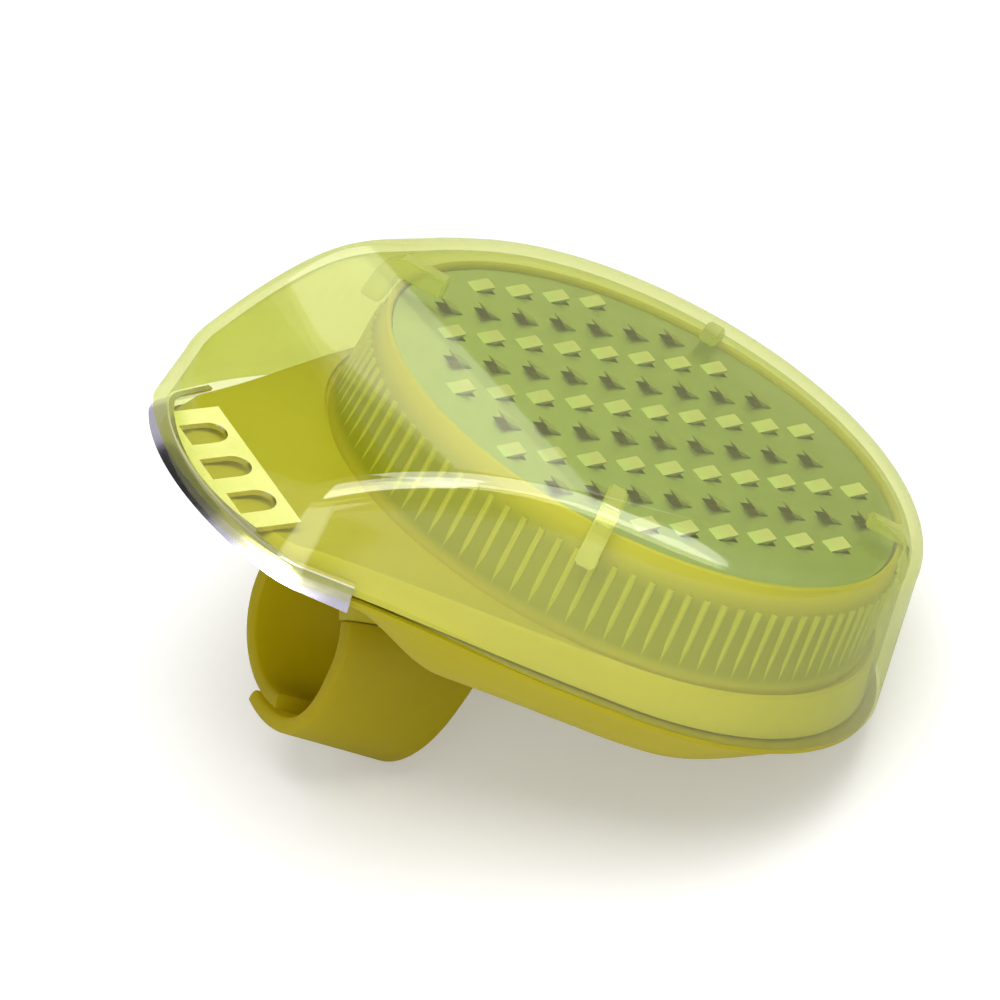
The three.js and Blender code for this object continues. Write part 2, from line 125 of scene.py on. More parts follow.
# Nose blade
BLADE_THICKNESS = 0.7
BLADE_TAIL = -52.3
BLADE_SLOPE = 14
BLADE_HALF_WIDTH = 12
BLADE_LIP_DROP = 0.3
BLADE_LIP_FALL = 0.05
BLADE_LIP_INSET = 0.2
SLOT_PITCH = 7
SLOT_LENGTH = 5.6
SLOT_WIDTH = 4.1
SLOT_TAIL_MARGIN = 1.1
SLOT_NOSE_LAND = 0.3

# Finger ring
RING_INNER_RADIUS = 9.3
RING_THICKNESS = 2
RING_NOSE_EDGE = -37
RING_TAIL_EDGE = -13.5
RING_TAPER = 5.2
RING_DROOP = 2.4
RING_PAD_THICKNESS = 1.2
RING_ROOT_ANGLE = 36
NEAR_ARM_END = -98
FAR_ARM_END = -108
RING_LAP = 0.5
RING_LAP_BLEND = (0.25, 0.75)
RING_ROUND = 0.7

# Counts of the points or rings along each round or drafted stretch
DRAFT_RINGS = 5
SHOULDER_RINGS = 17
HOLD_DOWN_BACK_POINTS = 7
POD_LIP_RINGS = 9
POD_WALL_RINGS = 13
POD_RIB_SIDES = 8
BLADE_BEND_RUNS = 9
BLADE_FRONT_POINTS = 49
SLOT_BOW_POINTS = 21
SHELL_FLANK_RINGS = 14
RING_ARM_STEPS = 60
RING_BORE_POINTS = 40

# Welding, shading and the flat triangulation of the blade, whose output type 0 keeps every triangle
WELD_DISTANCE = 1e-4
CREASE = 32
POD_RIB_CREASE = 40
BLADE_LIP_CREASE = 50
WHOLE_SHEET = 0
SHEET_TOLERANCE = 1e-6
OUTER_LOOP = 0

# Heights over the plate between which a colour fades in: the painted shade on the pod's wall, and the colour of
# the teeth
WALL_SHADE_FOOT = (POD_FLOOR_LEVEL, POD_FLOOR_LEVEL + 1.5)
WALL_SHADE_TOP = (-0.5, -4)
TOOTH_TINT = (0.1, 0.5)

# Colours and gloss that more than one finish shares
WHITE = (1, 1, 1)
TOOTH_COLOUR = (0.5, 0.52, 0.54)
HEAD_ON_TINT = (0.965, 0.972, 0.76)
GRAZING_TINT = (0.74, 0.79, 0.26)
HEAD_ON_GLOSS = 0.05
GRAZING_GLOSS = 0.4

# The studio, in metres and watts
FLOOR_HALF_WIDTH = 4
FLOOR_COLOUR = (0.9, 0.9, 0.9)
FLOOR_LIFT = 0.22
DARK_CARD_COLOUR = (0.02, 0.02, 0.02)
LAMP_DISTANCE = 1.0
WORLD_LIGHT = 0.5
WORLD_LIFT = 0.5

# The camera found from the photograph: its axes in the drawing, its eye along them in millimetres
CAMERA_RIGHT = (0.797, -0.451, 0.402)
CAMERA_BACK = (-0.598, -0.684, 0.418)
EYE_RIGHT = -18.12515
EYE_UP = -9.6163
EYE_BACK = 489.992
SENSOR_WIDTH = 36
LENS_PER_WIDTH = 3.9354

# The lift axis gives the lean of the standing object, and the cover's top face gives its place
lift_axis = next(joint for joint in frame["joints"] if joint["name"] == "cover_lift")["axis"]
lean = math.atan2(lift_axis[0], lift_axis[2])
lean_matrix = Matrix.Rotation(lean, 4, "Y")
top_face = next(mount for mount in frame["record"]["mounts"] if mount["name"] == "cover_top")
place = Vector(top_face["pos_m"]) * MM_PER_M - lean_matrix @ Vector((0, 0, COVER_TOP))
plate_normal = lean_matrix.to_3x3() @ Vector((0, 0, 1))
standing = Matrix.Scale(1 / MM_PER_M, 4) @ Matrix.Translation(place) @ lean_matrix


# Nodes
def tree_of(owner):
    """The node tree of a material or a world, or a geometry tree itself."""
    return owner if isinstance(owner, bpy.types.NodeTree) else owner.node_tree


class Socket:
    """A value in a node tree, with the sums, powers and limits that the trees here need."""

    def __init__(self, owner, socket):
        self.owner = owner
        self.socket = socket

    def _math(self, operation, first, second):
        node = add_node(self.owner, "ShaderNodeMath", {"operation": operation})
        return Socket(self.owner, fill_in_order(self.owner, node, first, second).outputs[0])

    def __add__(self, other):
        return self._math("ADD", self, other)

    __radd__ = __add__

    def __sub__(self, other):
        return self._math("SUBTRACT", self, other)

    def __rsub__(self, other):
        return self._math("SUBTRACT", other, self)

    def __mul__(self, other):
        return self._math("MULTIPLY", self, other)

    __rmul__ = __mul__

    def __truediv__(self, other):
        return self._math("DIVIDE", self, other)

    def __rtruediv__(self, other):
        return self._math("DIVIDE", other, self)

    def __pow__(self, other):
        return self._math("POWER", self, other)

    def __rpow__(self, other):
        return self._math("POWER", other, self)

    def at_least(self, other):
        return self._math("MAXIMUM", self, other)

    def at_most(self, other):
        return self._math("MINIMUM", self, other)


def link_or_set(owner, slot, value):
    if isinstance(value, Socket):
        tree_of(owner).links.new(value.socket, slot)
    elif isinstance(value, bpy.types.NodeSocket):
        tree_of(owner).links.new(value, slot)
    elif slot.type == "RGBA" and len(value) == 3:
        slot.default_value = (*value, 1)
    else:
        slot.default_value = value


def fill_in_order(owner, node, *values):
    """Links or sets the first sockets of a node by their order, as some nodes give several the same name."""
    for slot, value in zip(node.inputs, values):
        link_or_set(owner, slot, value)
    return node


def add_node(owner, kind, settings=None, **values):
    """A node of that kind. Underscores in the names of its sockets stand for spaces."""
    node = tree_of(owner).nodes.new(kind)
    for name, value in (settings or {}).items():
        setattr(node, name, value)
    for name, value in values.items():
        link_or_set(owner, node.inputs[name.replace("_", " ")], value)
    return node


# Materials
def new_material(name):
    material = bpy.data.materials.new(name)
    material.use_nodes = True
    material.node_tree.nodes.clear()
    return material


def finish_material(material, shader):
    add_node(material, "ShaderNodeOutputMaterial", Surface=shader.outputs[0])
    return material


def mixed_colour(material, share, first, second):
    """A blend of two colours. The mix node keeps its colour sockets after those of its other types."""
    first_slot, second_slot, result_slot = 6, 7, 2
    node = add_node(material, "ShaderNodeMix", {"data_type": "RGBA"}, Factor=share)
    link_or_set(material, node.inputs[first_slot], first)
    link_or_set(material, node.inputs[second_slot], second)
    return node.outputs[result_slot]


def mixed_shader(material, share, first, second):
    mix = add_node(material, "ShaderNodeMixShader")
    return fill_in_order(material, mix, share, first.outputs[0], second.outputs[0])


def grain(material, scale, detail=2.0, stretch=(1, 1, 1)):
    """Noise over a piece in its own metres, as a value from 0 to 1."""
    where = add_node(material, "ShaderNodeTexCoord").outputs["Object"]
    stretched = add_node(material, "ShaderNodeMapping", Vector=where, Scale=stretch).outputs[0]
    noise = add_node(material, "ShaderNodeTexNoise", Vector=stretched, Scale=scale, Detail=detail)
    return Socket(material, noise.outputs[0])


def height_over_plate(material):
    """Millimetres along the normal of the grating plate, which lies at 0."""
    where = add_node(material, "ShaderNodeTexCoord").outputs["Object"]
    along = add_node(material, "ShaderNodeVectorMath", {"operation": "DOT_PRODUCT"})
    fill_in_order(material, along, where, plate_normal)
    return Socket(material, along.outputs["Value"]) * MM_PER_M - plate_normal.dot(place)


def share_between(value, low, high):
    return ((value - low) / (high - low)).at_least(0).at_most(1)


def moulded_plastic(name, colour, deep_colour, glow, painted_wall_shade=None):
    """Satin plastic that lets some light through, with faint flow marks and a fine spark-eroded grain.

    The wall colour darkens the upright wall of the pod as painted shade, for the light that wall lacks beside the
    brighter deck and lip.
    """
    material = new_material(name)
    flow = grain(material, scale=45, detail=3.0, stretch=(1, 1, 2.5))
    fine = grain(material, scale=2600)
    bump = add_node(material, "ShaderNodeBump", Height=fine, Strength=0.12, Distance=0.0002)
    paint = mixed_colour(material, flow, colour, deep_colour)
    # Painted shade: the pod's upright wall takes the darker wall colour, fading out at the flange and below the
    # lip
    if painted_wall_shade:
        height = height_over_plate(material)
        in_wall_shade = share_between(height, *WALL_SHADE_FOOT) * share_between(height, *WALL_SHADE_TOP)
        paint = mixed_colour(material, in_wall_shade, paint, painted_wall_shade)
    shader = add_node(
        material, "ShaderNodeBsdfPrincipled", Base_Color=paint,
        Roughness=0.34 + 0.14 * fine, Specular_IOR_Level=0.32, Normal=bump.outputs[0],
    )
    through = add_node(material, "ShaderNodeBsdfTranslucent", Color=colour)
    return finish_material(material, mixed_shader(material, glow, shader, through))


def clear_plastic(name, head_on_haze, grazing_haze, haze_colour):
    """Tinted clear plastic: its tint deepens and its haze thickens where it is seen along the wall."""
    material = new_material(name)
    facing = Socket(material, add_node(material, "ShaderNodeLayerWeight", Blend=0.5).outputs["Facing"])
    thin = add_node(material, "ShaderNodeBsdfTransparent", Color=HEAD_ON_TINT)
    deep = add_node(material, "ShaderNodeBsdfTransparent", Color=GRAZING_TINT)
    tint = mixed_shader(material, facing ** 2, thin, deep)
    haze = add_node(
        material, "ShaderNodeBsdfPrincipled", Base_Color=haze_colour, Roughness=0.3, Specular_IOR_Level=0.2,
    )
    flow = grain(material, scale=60)
    hazy = head_on_haze * (0.8 + 0.4 * flow) + grazing_haze * facing ** 3
    body = mixed_shader(material, hazy, tint, haze)
    scuffs = grain(material, scale=400, detail=3.0)
    gloss = add_node(material, "ShaderNodeBsdfGlossy", Color=WHITE, Roughness=0.04 + 0.04 * scuffs)
    shine = HEAD_ON_GLOSS + GRAZING_GLOSS * facing ** 5
    return finish_material(material, mixed_shader(material, shine, body, gloss))


def stamped_steel(name, colour, dull_colour, roughness):
    """Rolled sheet steel with dull clouds. What stands up from the plate takes the colour of the teeth."""
    material = new_material(name)
    rolled = grain(material, scale=700, stretch=(0.1, 1, 1))
    cloud = grain(material, scale=90, detail=3.0)
    raised = share_between(height_over_plate(material), *TOOTH_TINT)
    sheet = mixed_colour(material, cloud, colour, dull_colour)
    bump = add_node(material, "ShaderNodeBump", Height=rolled, Strength=0.05, Distance=0.0001)
    shader = add_node(
        material, "ShaderNodeBsdfPrincipled", Base_Color=mixed_colour(material, raised, sheet, TOOTH_COLOUR),
        Metallic=1.0, Roughness=roughness + 0.1 * rolled, Normal=bump.outputs[0],
    )
    return finish_material(material, shader)


lime = moulded_plastic("lime plastic", (0.55, 0.48, 0.01), (0.49, 0.42, 0.008), glow=0.3)
# The lime plastic again on the finger ring, painted lighter and letting more light through: painted light that
# lifts the shade inside the ring
ring_lime_painted_lighter = moulded_plastic("ring lime plastic painted lighter", (0.59, 0.51, 0.014), (0.53, 0.45, 0.01), glow=0.6)
# Pod lime: its deck and lip keep the bright lime, and its upright wall gets a darker, greener lime as painted
# shade
pod_lime = moulded_plastic(
    "pod lime plastic", (0.8, 0.74, 0.08), (0.74, 0.68, 0.06), glow=0.2, painted_wall_shade=(0.4, 0.42, 0.012),
)
rib_lime = moulded_plastic("pod rib plastic", (0.7, 0.71, 0.09), (0.65, 0.66, 0.07), glow=0.2)
clear_lime = clear_plastic("clear lime plastic", 0.03, 0.2, haze_colour=(0.62, 0.66, 0.12))
# The cover's clear plastic again on the hold-down ribs, made hazier and paler: painted light, for the light that
# the thick bars catch
clear_rib_painted_bright = clear_plastic("clear lime rib painted bright", 0.4, 0.4, haze_colour=(0.88, 0.9, 0.42))
steel = stamped_steel("stamped steel", (0.5, 0.61, 0.56), (0.42, 0.53, 0.46), roughness=0.26)
bright_steel = stamped_steel("bright steel", (0.86, 0.82, 0.98), (0.8, 0.76, 0.92), roughness=0.12)


# Meshes
def add_object(name, data):
    thing = bpy.data.objects.new(name, data)
    bpy.context.scene.collection.objects.link(thing)
    return thing


def make_piece(name, points, faces, material, body, replaced, crease=CREASE):
    """Makes a piece from points in the level drawing, shaded smooth up to a crease angle."""
    mesh = bpy.data.meshes.new(name)
    mesh.from_pydata([tuple(point) for point in points], [], faces)
    shape = bmesh.new()
    shape.from_mesh(mesh)
    bmesh.ops.remove_doubles(shape, verts=shape.verts, dist=WELD_DISTANCE)
    if shape.calc_volume(signed=True) < 0:
        bmesh.ops.reverse_faces(shape, faces=shape.faces)
    shape.to_mesh(mesh)
    shape.free()
    mesh.materials.append(material)
    finish_piece(name, mesh, body, replaced, crease)


def finish_piece(name, mesh, body, replaced, crease):
    """Stands a mesh of the level drawing up as a piece of the object that rides on a body."""
    mesh.transform(standing)
    mesh.shade_smooth()
    mesh.set_sharp_from_angle(angle=math.radians(crease))
    piece = add_object(name, mesh)
    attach(piece, body)
    if replaced:
        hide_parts(*replaced)


def bands(rings, looped=False):
    """The faces between the rings of a run, which all have the same count of points."""
    count = len(rings[0])
    faces = []
    for i in range(len(rings) if looped else len(rings) - 1):
        here, there = i * count, (i + 1) % len(rings) * count
        for j in range(count):
            k = (j + 1) % count
            faces.append((here + j, there + j, there + k, here + k))
    return faces


def loft(rings, looped=False):
    """Skins a run of rings. An open run is capped by strips across the mirror plane."""
    count = len(rings[0])
    faces = bands(rings, looped)
    if not looped:
        for ring, flip in ((0, False), (len(rings) - 1, True)):
            for j in range(count // 2):
                corners = [j, j + 1, -j - 1, -j]
                strip = list(dict.fromkeys(ring * count + corner % count for corner in corners))
                faces.append(tuple(strip[::-1] if flip else strip))
    return np.concatenate(rings), faces


def tube(rings):
    """Skins a run of closed sections and caps both its ends."""
    count = len(rings[0])
    last = (len(rings) - 1) * count
    caps = [tuple(range(count)), tuple(range(last, last + count))[::-1]]
    return np.concatenate(rings), bands(rings) + caps


def smooth_share(value, low, high):
    share = np.clip((value - low) / (high - low), 0, 1)
    return share * share * (3 - 2 * share)


# Outline of the rim, from the tail over the far side to the nose and back along the near side
def rim_outline(tail_steps=110, flank_steps=26, corner_steps=22, nose_steps=24):
    """Its points, the directions out of it, and an ease that runs from 0 at the tail to 1 round the nose."""
    corner_y = NOSE_HALF_WIDTH - NOSE_CORNER_RADIUS
    nose_x = NOSE_ARC_RADIUS - NOSE_REACH
    corner_x = nose_x - math.sqrt((NOSE_ARC_RADIUS - NOSE_CORNER_RADIUS) ** 2 - corner_y ** 2)
    reach = math.hypot(corner_x, corner_y)
    tangent = math.atan2(corner_y, corner_x) - math.acos((RIM_RADIUS - NOSE_CORNER_RADIUS) / reach)
    corner_end = math.atan2(corner_y, corner_x - nose_x)

    def arc(centre, radius, start, end, steps):
        turn = np.linspace(start, end, steps)
        out = np.column_stack([np.cos(turn), np.sin(turn)])
        return np.array(centre) + radius * out, out

    tail = arc((0, 0), RIM_RADIUS, 0, tangent, tail_steps)
    corner = arc((corner_x, corner_y), NOSE_CORNER_RADIUS, tangent, corner_end, corner_steps)
    nose = arc((nose_x, 0), NOSE_ARC_RADIUS, corner_end, math.pi, nose_steps)
    share = np.linspace(0, 1, flank_steps + 2)[1:-1]
    flank = tail[0][-1] + share[:, None] * (corner[0][0] - tail[0][-1])
    runs = [tail, (flank, np.repeat(tail[1][-1:], flank_steps, 0)), corner, (nose[0][1:], nose[1][1:])]
    point = np.concatenate([run[0] for run in runs])
    out = np.concatenate([run[1] for run in runs])
    ease = np.ones(len(point))
    ease[:tail_steps] = 0
    ease[tail_steps:tail_steps + flank_steps] = smooth_share(share / NOSE_FROM, NOSE_EASE_START, 1)
    back = slice(-2, 0, -1)
    mirror = np.array([1, -1])
    return (
        np.concatenate([point, point[back] * mirror]),
        np.concatenate([out, out[back] * mirror]),
        np.concatenate([ease, ease[back]]),
    )


rim_point, rim_out, rim_ease = rim_outline()
rim_turn = np.arctan2(rim_point[:, 1], rim_point[:, 0])
nose_turn = (np.abs(rim_turn) - math.radians(NOSE_BLEND_START)) / math.radians(180 - NOSE_BLEND_START)
nose_share = smooth_share(nose_turn, 0, NOSE_BLEND_SHARE)


def as_level(level, x):
    return level(x) if callable(level) else np.full_like(x, level)


def rim_ring(inset, level):
    flat = rim_point - rim_out * np.broadcast_to(np.asarray(inset, float), rim_turn.shape)[:, None]
    return np.column_stack([flat[:, 0], flat[:, 1] * SPREAD, as_level(level, flat[:, 0])])


def circle_ring(radius, level):
    x = radius * np.cos(rim_turn)
    return np.column_stack([x, radius * np.sin(rim_turn) * SPREAD, as_level(level, x)])


def rim_at(x):
    return RIM_LEVEL - RIM_TILT * x


def top_at(x):
    run = np.maximum(0, TOP_FALL_START - x) / (NOSE_REACH + TOP_FALL_START)
    return COVER_TOP - TOP_TILT * x - TOP_FALL * run ** TOP_FALL_POWER


def pod_wall_radius(z):
    return PLATE_RADIUS + SEAT_GAP + POD_LIP_WIDTH - POD_DRAFT * z


# Cover: drafted walls, a round shoulder and a top that falls away to the nose
def cover_rings(wall):
    tight = 1 + (COVER_NOSE_TIGHTNESS - 1) * nose_share
    rings = [rim_ring(wall, lambda x: rim_at(x) + COVER_NOSE_RISE * rim_ease)]
    first = cover_ring(wall, tight, COVER_DRAFT_INSET, COVER_DRAFT_SHARE, 0)
    for share in np.linspace(0, 1, DRAFT_RINGS)[1:-1]:
        rings.append(rings[0] + share * (first - rings[0]))
    for turn in np.linspace(0, math.pi / 2, SHOULDER_RINGS):
        inset = COVER_DRAFT_INSET + COVER_SHOULDER_INSET * (1 - math.cos(turn))
        share = COVER_DRAFT_SHARE + (1 - COVER_DRAFT_SHARE) * math.sin(turn)
        rings.append(cover_ring(wall, tight, inset, share, turn))
    return rings


def cover_ring(wall, tight, inset, share, turn):
    def level(x):
        return rim_at(x) + share * (top_at(x) - rim_at(x)) - wall * math.sin(turn)
    return rim_ring(wall * math.cos(turn) + inset * tight, level)


def rim_reach(angle):
    half = len(rim_turn) // 2
    return float(np.interp(abs(angle), rim_turn[:half], np.hypot(*rim_point[:half].T)))


def hold_down_rib(angle):
    """One leg over the pod's lip and one down its wall, standing radially in the cover's shoulder."""
    rim = rim_reach(angle)
    rim_x = rim * math.cos(angle)
    low, high = float(rim_at(rim_x)), float(top_at(rim_x))
    over = TOOTH_RISE + SEAT_GAP
    under = high - HOLD_DOWN_SEAT
    pod_top = float(pod_wall_radius(0))

    def back(z):
        share = (z - low) / (high - low)
        turn = math.asin(min(1, max(0, share - COVER_DRAFT_SHARE) / (1 - COVER_DRAFT_SHARE)))
        draft = COVER_DRAFT_INSET * min(1, share / COVER_DRAFT_SHARE)
        return rim - draft - COVER_SHOULDER_INSET * (1 - math.cos(turn)) - HOLD_DOWN_SEAT

    side = [
        (pod_top - HOLD_DOWN_LAP, under),
        (pod_top - HOLD_DOWN_LAP, over),
        (pod_top + SEAT_GAP, over),
        (float(pod_wall_radius(HOLD_DOWN_FOOT)) + POD_RIB_DEPTH + SEAT_GAP, HOLD_DOWN_FOOT),
    ]
    side += [(back(z), z) for z in np.linspace(HOLD_DOWN_FOOT, under, HOLD_DOWN_BACK_POINTS)]
    shape = bmesh.new()
    rows = []
    for offset in (-HOLD_DOWN_WIDTH / 2, HOLD_DOWN_WIDTH / 2):
        row = []
        for reach, z in side:
            x = reach * math.cos(angle) - offset * math.sin(angle)
            y = reach * math.sin(angle) + offset * math.cos(angle)
            row.append(shape.verts.new((x, y * SPREAD, z)))
        rows.append(row)
    count = len(side)
    for j in range(count):
        k = (j + 1) % count
        shape.faces.new((rows[0][j], rows[0][k], rows[1][k], rows[1][j]))
    shape.faces.new(rows[0][::-1])
    shape.faces.new(rows[1])
    bmesh.ops.recalc_face_normals(shape, faces=shape.faces)
    bmesh.ops.bevel(
        shape, geom=shape.edges[:], offset=HOLD_DOWN_ROUND, segments=2, affect="EDGES", clamp_overlap=True,
    )
    shape.verts.index_update()
    points = [tuple(vertex.co) for vertex in shape.verts]
    faces = [tuple(vertex.index for vertex in face.verts) for face in shape.faces]
    shape.free()
    return points, faces


def make_cover():
    points, faces = loft(cover_rings(0)[::-1] + cover_rings(COVER_WALL))
    make_piece("cover_skin", points, faces, clear_lime, "cover", ["cover"])
    rib_points, rib_faces = [], []
    for angle in HOLD_DOWN_ANGLES:
        more_points, more_faces = hold_down_rib(math.radians(angle))
        rib_faces += [tuple(len(rib_points) + i for i in face) for face in more_faces]
        rib_points += more_points
    make_piece("cover_hold_down_ribs", rib_points, rib_faces, clear_rib_painted_bright, "cover", [])


# Pod: a lip round the plate, a wall with fine ribs and the flange that runs forward as the nose deck
def deck_top(x):
    return POD_FLOOR_LEVEL - np.maximum(0, BLADE_TAIL - x) * math.tan(math.radians(BLADE_SLOPE))


def make_pod():
    rebate = PLATE_RADIUS + SEAT_GAP
    ledge_top = -PLATE_THICKNESS - SEAT_GAP
    ledge_radius = PLATE_RADIUS - PLATE_LEDGE
    ledge_foot = ledge_top - PLATE_LEDGE_DEPTH
    haunch = ledge_foot - PLATE_LEDGE_HAUNCH
    top = pod_wall_radius(0)
    lip_foot = POD_LIP_RISE - POD_LIP_CROWN
    groove = pod_wall_radius(POD_FLOOR_LEVEL) + GROOVE_SIZE
    foot_inset = FLANGE_INSET + rim_ease * (BLADE_THICKNESS + SEAT_GAP)
    edge_inset = foot_inset + FLANGE_DRAFT
    rings = [circle_ring(rebate, ledge_top)]
    for turn in np.linspace(math.pi, 0, POD_LIP_RINGS):
        reach = (rebate + top) / 2 + math.cos(turn) * (top - rebate) / 2
        rings.append(circle_ring(reach, lip_foot + POD_LIP_CROWN * math.sin(turn)))
    for z in np.linspace(-POD_LIP_ROUND, POD_FLOOR_LEVEL - GROOVE_SIZE, POD_WALL_RINGS):
        rings.append(circle_ring(pod_wall_radius(z), z))
    rings += [
        circle_ring(groove, lambda x: deck_top(x) - GROOVE_SIZE),
        circle_ring(groove + GROOVE_LEAN, deck_top),
        rim_ring(edge_inset + FLANGE_BEVEL, deck_top),
        rim_ring(edge_inset - FLANGE_BEVEL_REACH, lambda x: deck_top(x) - FLANGE_BEVEL),
        rim_ring(foot_inset, rim_at),
        circle_ring(pod_wall_radius(RIM_LEVEL) - POD_WALL, rim_at),
        circle_ring(pod_wall_radius(haunch) - POD_WALL, haunch),
        circle_ring(ledge_radius, ledge_foot),
        circle_ring(ledge_radius, ledge_top),
    ]
    points, faces = loft(rings, looped=True)
    make_piece("pod_wall", points, faces, pod_lime, "body", ["pod"])


def rib_tree():
    """Round bars that lie on a slope and repeat round a circle, as fine ribs on a drafted wall."""
    tree = bpy.data.node_groups.new("pod ribs", "GeometryNodeTree")
    sizes = {"Count": "NodeSocketInt"}
    for name in ("Top reach", "Top level", "Foot reach", "Foot level", "Bar radius", "Spread"):
        sizes[name] = "NodeSocketFloat"
    for name, kind in sizes.items():
        tree.interface.new_socket(name, in_out="INPUT", socket_type=kind)
    tree.interface.new_socket("Ribs", in_out="OUTPUT", socket_type="NodeSocketGeometry")
    given = add_node(tree, "NodeGroupInput").outputs
    top = add_node(tree, "ShaderNodeCombineXYZ", X=given["Top reach"], Z=given["Top level"])
    foot = add_node(tree, "ShaderNodeCombineXYZ", X=given["Foot reach"], Z=given["Foot level"])
    line = add_node(tree, "GeometryNodeCurvePrimitiveLine", Start=top.outputs[0], End=foot.outputs[0])
    section = add_node(
        tree, "GeometryNodeCurvePrimitiveCircle", Resolution=POD_RIB_SIDES, Radius=given["Bar radius"],
    )
    bar = add_node(
        tree, "GeometryNodeCurveToMesh",
        Curve=line.outputs[0], Profile_Curve=section.outputs[0], Fill_Caps=True,
    )
    step = 2 * math.pi / Socket(tree, given["Count"])
    turn = Socket(tree, add_node(tree, "GeometryNodeInputIndex").outputs[0]) * step
    places = add_node(tree, "GeometryNodeMeshLine", Count=given["Count"], Offset=(0, 0, 0))
    bars = add_node(
        tree, "GeometryNodeInstanceOnPoints", Points=places.outputs[0], Instance=bar.outputs[0],
        Rotation=add_node(tree, "ShaderNodeCombineXYZ", Z=turn).outputs[0],
    )
    plain = add_node(tree, "GeometryNodeRealizeInstances", Geometry=bars.outputs[0])
    wide = add_node(tree, "ShaderNodeCombineXYZ", X=1.0, Y=given["Spread"], Z=1.0)
    spread = add_node(tree, "GeometryNodeTransform", Geometry=plain.outputs[0], Scale=wide.outputs[0])
    painted = add_node(tree, "GeometryNodeSetMaterial", Geometry=spread.outputs[0], Material=rib_lime)
    add_node(tree, "NodeGroupOutput", Ribs=painted.outputs[0])
    return tree


def grown_mesh(name, tree, sizes):
    """The plain mesh that a geometry tree makes from the sizes it is given."""
    holder = add_object(name, bpy.data.meshes.new(name))
    grow = holder.modifiers.new("grow", "NODES")
    grow.node_group = tree
    for item in tree.interface.items_tree:
        if item.in_out == "INPUT":
            grow[item.identifier] = sizes[item.name]
    evaluated = holder.evaluated_get(bpy.context.evaluated_depsgraph_get())
    mesh = bpy.data.meshes.new_from_object(evaluated)
    bpy.data.objects.remove(holder)
    return mesh


def make_pod_ribs():
    radius = POD_RIB_WIDTH / 2
    top, foot = -POD_RIB_START, -POD_RIB_START - POD_RIB_HEIGHT
    mesh = grown_mesh("pod_ribs", rib_tree(), {
        "Count": POD_RIB_COUNT,
        "Top reach": pod_wall_radius(top) + POD_RIB_DEPTH - radius,
        "Top level": top,
        "Foot reach": pod_wall_radius(foot) - radius,
        "Foot level": foot,
        "Bar radius": radius,
        "Spread": SPREAD,
    })
    finish_piece("pod_ribs", mesh, "body", [], POD_RIB_CREASE)


# Nose blade: a slotted plate on the deck and a lip round the nose that flares out below the cover's skirt
def blade_top(x):
    return deck_top(x) + SEAT_GAP + BLADE_THICKNESS


def lip_face(deeper):
    """One face of the lip from its top over a round bend to its edge, each run along the nose."""
    nose = rim_ease == 1
    top = blade_top(-NOSE_REACH + FLANGE_INSET + BLADE_THICKNESS)
    high = rim_ring(FLANGE_INSET + deeper, lambda x: top - RIM_TILT * (x + NOSE_REACH))[nose]
    bend = rim_ring(FLANGE_INSET + deeper, lambda x: rim_at(x) + COVER_NOSE_RISE - SEAT_GAP)[nose]
    edge = rim_ring(
        BLADE_LIP_INSET + deeper, lambda x: rim_at(x) - BLADE_LIP_DROP - BLADE_LIP_FALL * (x + NOSE_REACH),
    )[nose]
    runs = [high]
    for share in np.linspace(0, 1, BLADE_BEND_RUNS):
        into_bend = (high + bend) / 2 * (1 - share) ** 2
        out_of_bend = (bend + edge) / 2 * share ** 2
        runs.append(into_bend + 2 * share * (1 - share) * bend + out_of_bend)
    return runs + [edge]


def blade_outlines():
    """The outline of the slotted plate and of its three slots, as flat loops."""
    nose = rim_ring(FLANGE_INSET + BLADE_THICKNESS / 2, 0.0)[rim_ease == 1]
    nose = nose[np.argsort(nose[:, 1])]
    across = np.linspace(-BLADE_HALF_WIDTH, BLADE_HALF_WIDTH, BLADE_FRONT_POINTS)
    front = [(float(np.interp(y, nose[:, 1], nose[:, 0])), y) for y in across]
    loops = [front + [(BLADE_TAIL, BLADE_HALF_WIDTH), (BLADE_TAIL, -BLADE_HALF_WIDTH)]]
    half = SLOT_WIDTH / 2
    tail = BLADE_TAIL - SLOT_TAIL_MARGIN - half
    turns = np.linspace(-math.pi / 2, math.pi / 2, SLOT_BOW_POINTS)
    for y in (-SLOT_PITCH, 0, SLOT_PITCH):
        land = float(np.interp(abs(y) + half, nose[:, 1], nose[:, 0])) + SLOT_NOSE_LAND
        start = max(BLADE_TAIL - SLOT_TAIL_MARGIN - SLOT_LENGTH, land)
        bow = [(tail + half * math.cos(turn), y + half * math.sin(turn)) for turn in turns]
        loops.append([(start, y - half)] + bow + [(start, y + half)])
    return loops


